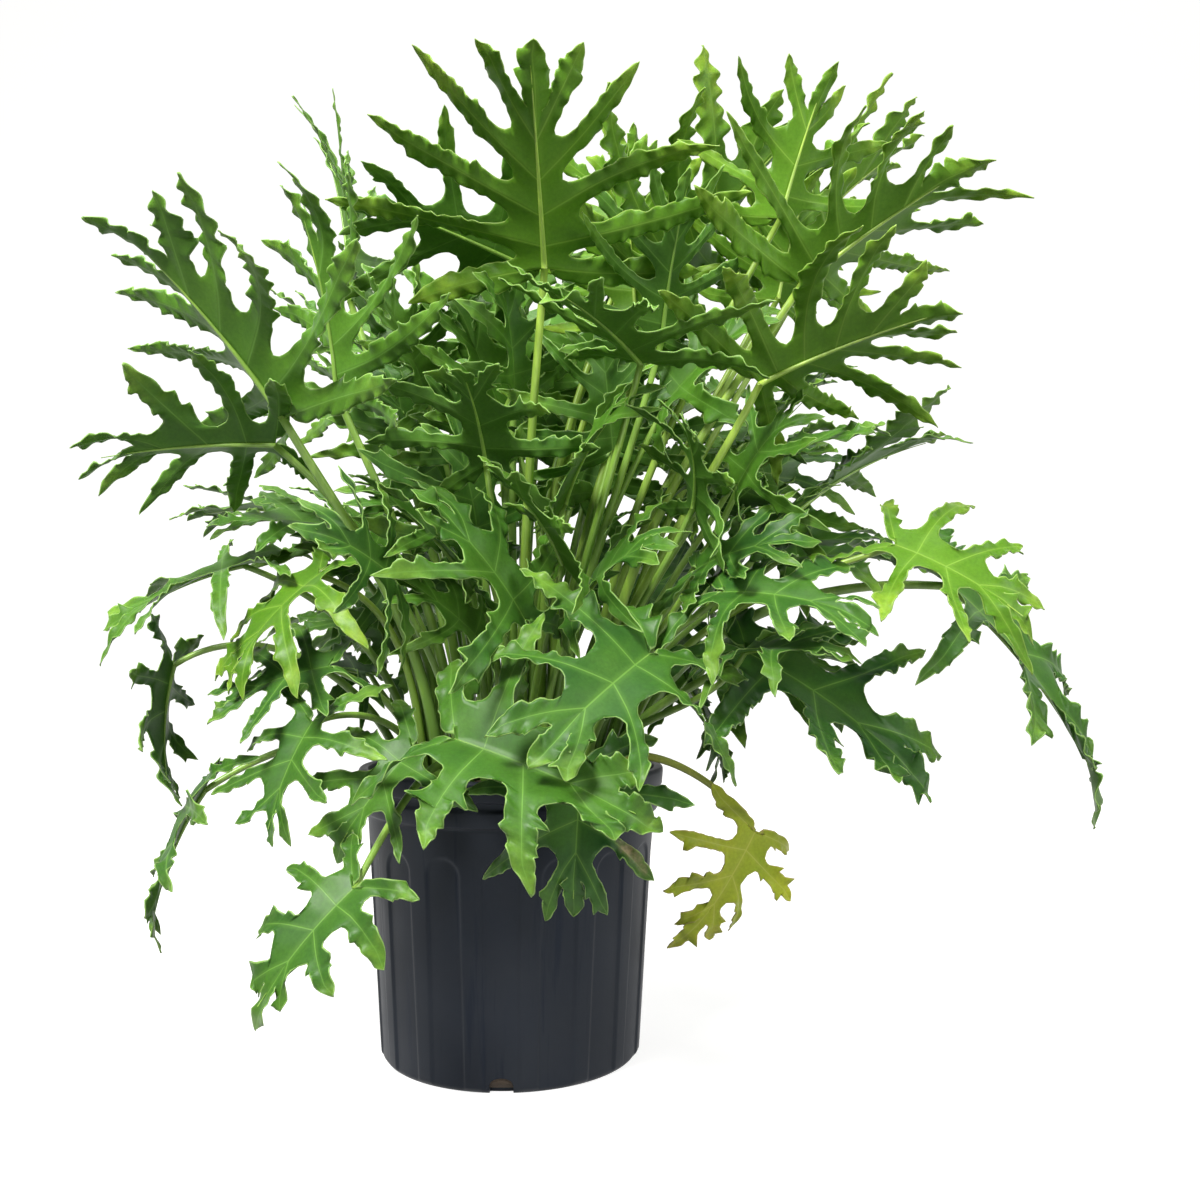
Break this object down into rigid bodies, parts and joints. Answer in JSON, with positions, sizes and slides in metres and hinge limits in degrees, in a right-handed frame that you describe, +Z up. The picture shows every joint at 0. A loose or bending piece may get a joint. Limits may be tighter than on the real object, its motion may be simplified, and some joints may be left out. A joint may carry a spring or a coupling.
{
  "type": "potted split-leaf philodendron",
  "caption": "Bushy foliage plant with deeply cut, wavy-edged leaves on long leafstalks, standing in soil in a round black nursery pot with a rolled rim and shallow arched panels.",
  "frame": {"origin": "middle of the pot's flat underside", "axes": "+Z up the plant; the picture looks along +Y, with +X to its right"},
  "size_m": [0.8012, 0.631, 0.8431],
  "materials": {
    "pot": "blue-black injection-moulded plastic, satin, slightly dusty",
    "soil": "dark bark and peat potting mix, matt",
    "leaf": "mid to dark green leaf, soft gloss, pale veins and margins",
    "leaf_young": "fresh yellow-green leaf, soft gloss, pale veins and margins",
    "leaf_yellow": "old leaf turned yellow-green, soft gloss"
  },
  "bodies": {
    "root": {"pot": "pot", "soil": "soil", "leaf_front_big": "leaf", "leaf_front_mid": "leaf", "leaf_front_high": "leaf", "leaf_top_left": "leaf_young", "leaf_top_mid": "leaf_young", "leaf_top_right": "leaf_young", "leaf_top_droop": "leaf", "leaf_top_inner": "leaf", "leaf_right_high": "leaf_young", "leaf_left_big": "leaf", "leaf_left_side": "leaf", "leaf_left_tall": "leaf", "leaf_right_far": "leaf", "leaf_right_lime": "leaf_young", "leaf_right_low": "leaf", "leaf_right_mid": "leaf", "leaf_mid_left": "leaf", "leaf_left_hook": "leaf", "leaf_left_hang": "leaf", "leaf_pot_left": "leaf", "leaf_yellow": "leaf_yellow", "leaf_rim_left": "leaf", "leaf_front_under": "leaf", "leaf_left_low": "leaf", "leaf_left_lime": "leaf_young", "leaf_left_curl": "leaf", "leaf_left_drop": "leaf", "leaf_left_face": "leaf", "leaf_left_pale": "leaf", "leaf_mid_round": "leaf", "leaf_right_bush_a": "leaf", "leaf_right_bush_b": "leaf", "leaf_right_bush_c": "leaf", "leaf_right_bush_d": "leaf", "leaf_right_dark": "leaf", "leaf_mid_back": "leaf", "leaf_top_left_low": "leaf", "leaf_top_right_back": "leaf_young", "leaf_left_back": "leaf", "leaf_left_dark_a": "leaf", "leaf_left_dark_b": "leaf", "leaf_centre_a": "leaf", "leaf_centre_b": "leaf", "leaf_centre_c": "leaf", "leaf_right_bush_e": "leaf", "leaf_right_bush_f": "leaf", "leaf_inner_right": "leaf", "leaf_inner_left": "leaf", "leaf_inner_low": "leaf", "leaf_far_01": "leaf", "leaf_far_02": "leaf", "leaf_far_03": "leaf", "leaf_far_04": "leaf", "leaf_far_05": "leaf", "leaf_far_06": "leaf", "leaf_far_07": "leaf", "leaf_far_08": "leaf", "leaf_far_09": "leaf"}
  },
  "joints": []
}
